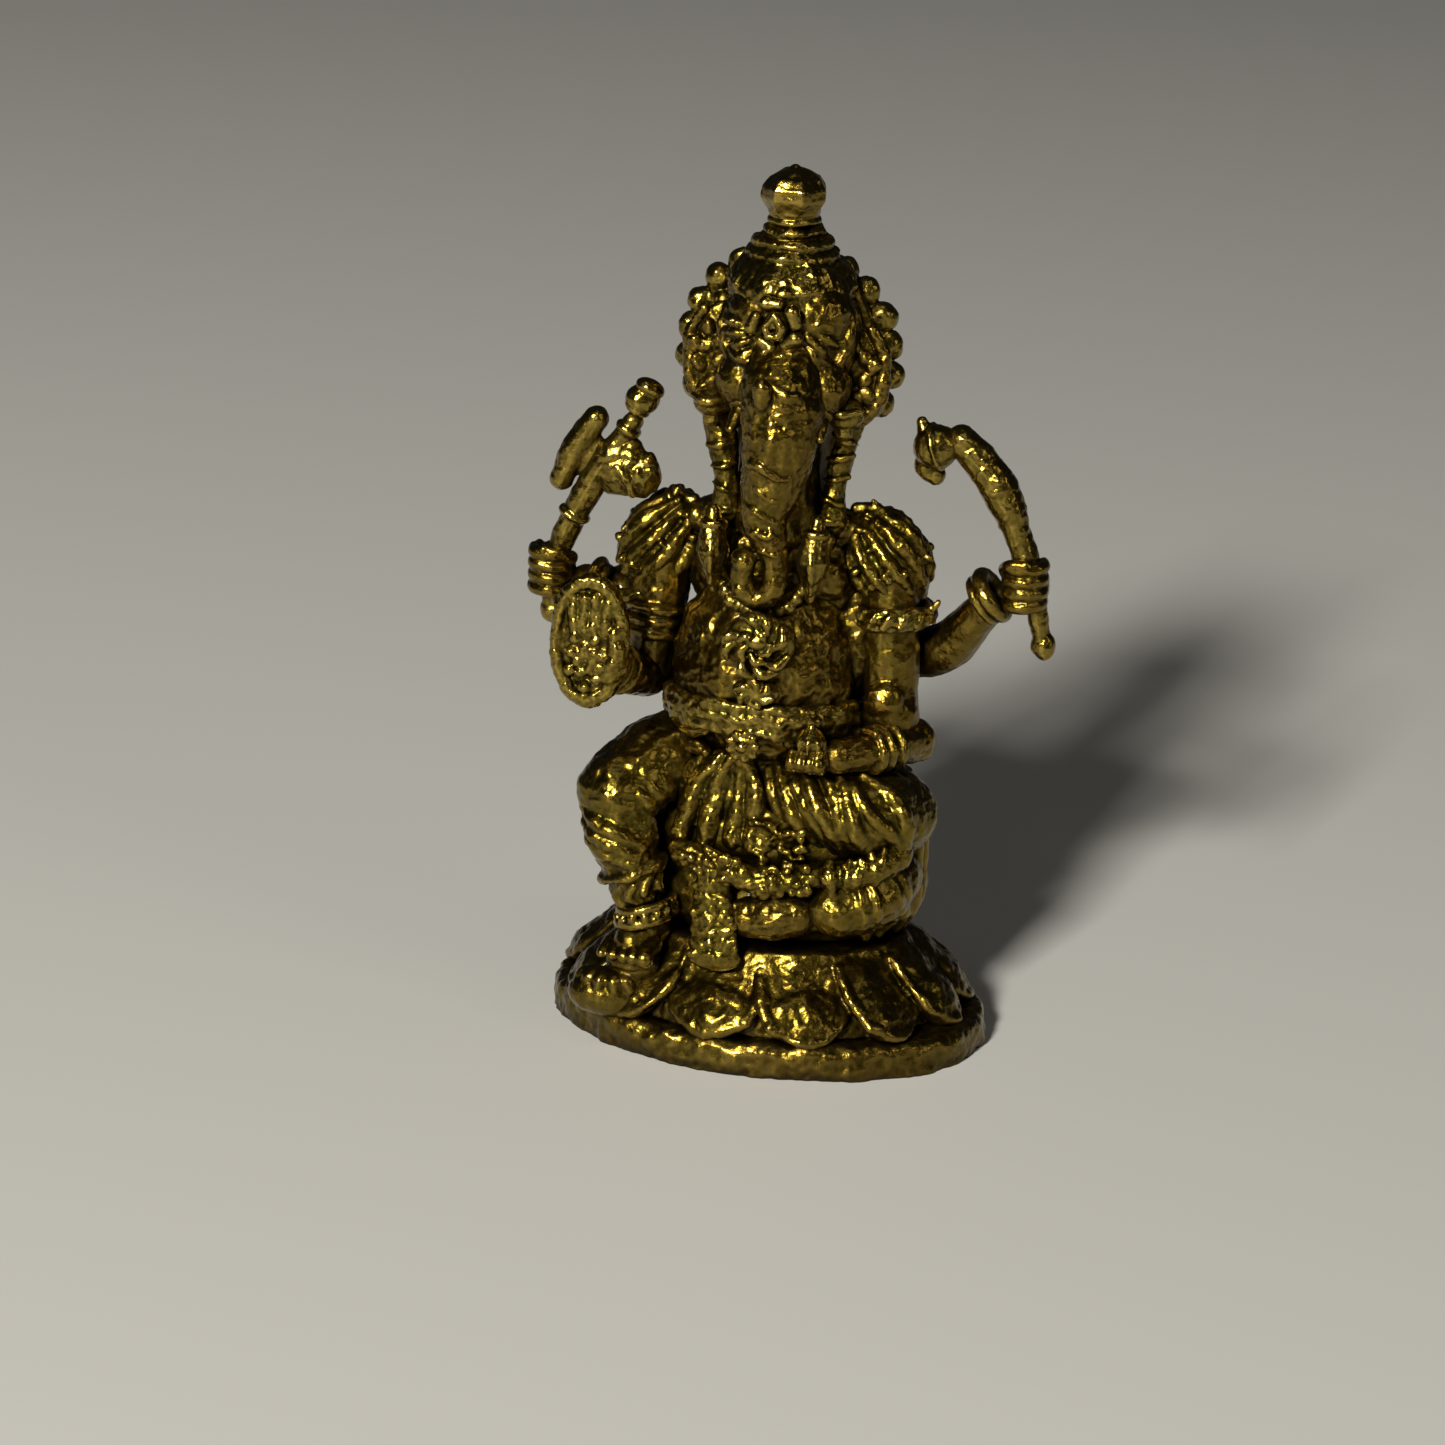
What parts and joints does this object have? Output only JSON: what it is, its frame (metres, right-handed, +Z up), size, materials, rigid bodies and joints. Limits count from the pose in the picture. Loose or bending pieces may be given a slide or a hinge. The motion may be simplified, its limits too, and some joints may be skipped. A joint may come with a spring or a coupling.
{
  "type": "hindu deity statue",
  "caption": "Small cast brass seated elephant-headed deity with raised side arms and a bead halo, on an oval lotus plinth that stands on a shelf or altar.",
  "frame": {"origin": "middle of the plinth's flat underside", "axes": "+Z up through the crown, +X to the figure's left hand, -Y the way the figure faces"},
  "size_m": [0.0217, 0.0127, 0.0354],
  "materials": {
    "base_brass": "aged cast brass, dark in the hollows, lightly rubbed on the rim",
    "body_brass": "aged cast brass, polished by handling on the high spots",
    "cloth_brass": "aged cast brass with chased folds, dark between them",
    "ornament_brass": "aged cast brass, brightest on the beads and edges"
  },
  "bodies": {
    "root": {"plinth": "base_brass", "seat": "cloth_brass", "foot_pad": "base_brass", "lotus": "base_brass", "belly": "body_brass", "chest": "body_brass", "neck": "body_brass", "head": "body_brass", "trunk": "body_brass", "right_thigh": "cloth_brass", "right_shin": "cloth_brass", "right_anklet": "ornament_brass", "right_foot": "body_brass", "left_thigh": "cloth_brass", "left_shin": "cloth_brass", "left_hem": "cloth_brass", "left_foot": "body_brass", "belt": "ornament_brass", "belt_clasp": "ornament_brass", "front_sash": "cloth_brass", "seat_drape": "cloth_brass", "necklace": "ornament_brass", "medallion": "ornament_brass", "right_tassel": "ornament_brass", "left_tassel": "ornament_brass", "right_tusk": "body_brass", "right_ear": "body_brass", "right_earring": "ornament_brass", "right_lappet": "cloth_brass", "left_tusk": "body_brass", "left_ear": "body_brass", "left_earring": "ornament_brass", "left_lappet": "cloth_brass", "crown": "ornament_brass", "finial": "ornament_brass", "forehead_jewel": "ornament_brass", "halo": "ornament_brass", "right_front_upper_arm": "body_brass", "right_front_forearm": "body_brass", "right_blessing_hand": "body_brass", "left_front_upper_arm": "body_brass", "left_front_forearm": "body_brass", "left_front_hand": "body_brass", "sweet": "ornament_brass", "right_rear_arm": "body_brass", "left_rear_arm": "body_brass", "left_rear_bangle": "ornament_brass", "right_rear_bangle": "ornament_brass", "axe_handle": "ornament_brass", "axe_finial": "ornament_brass", "axe_blade": "ornament_brass", "axe_poll": "ornament_brass", "right_rear_fist": "body_brass", "goad_shaft": "ornament_brass", "goad_head": "ornament_brass", "left_rear_fist": "body_brass", "right_cape": "cloth_brass", "left_cape": "cloth_brass", "left_armlet": "ornament_brass"}
  },
  "joints": []
}
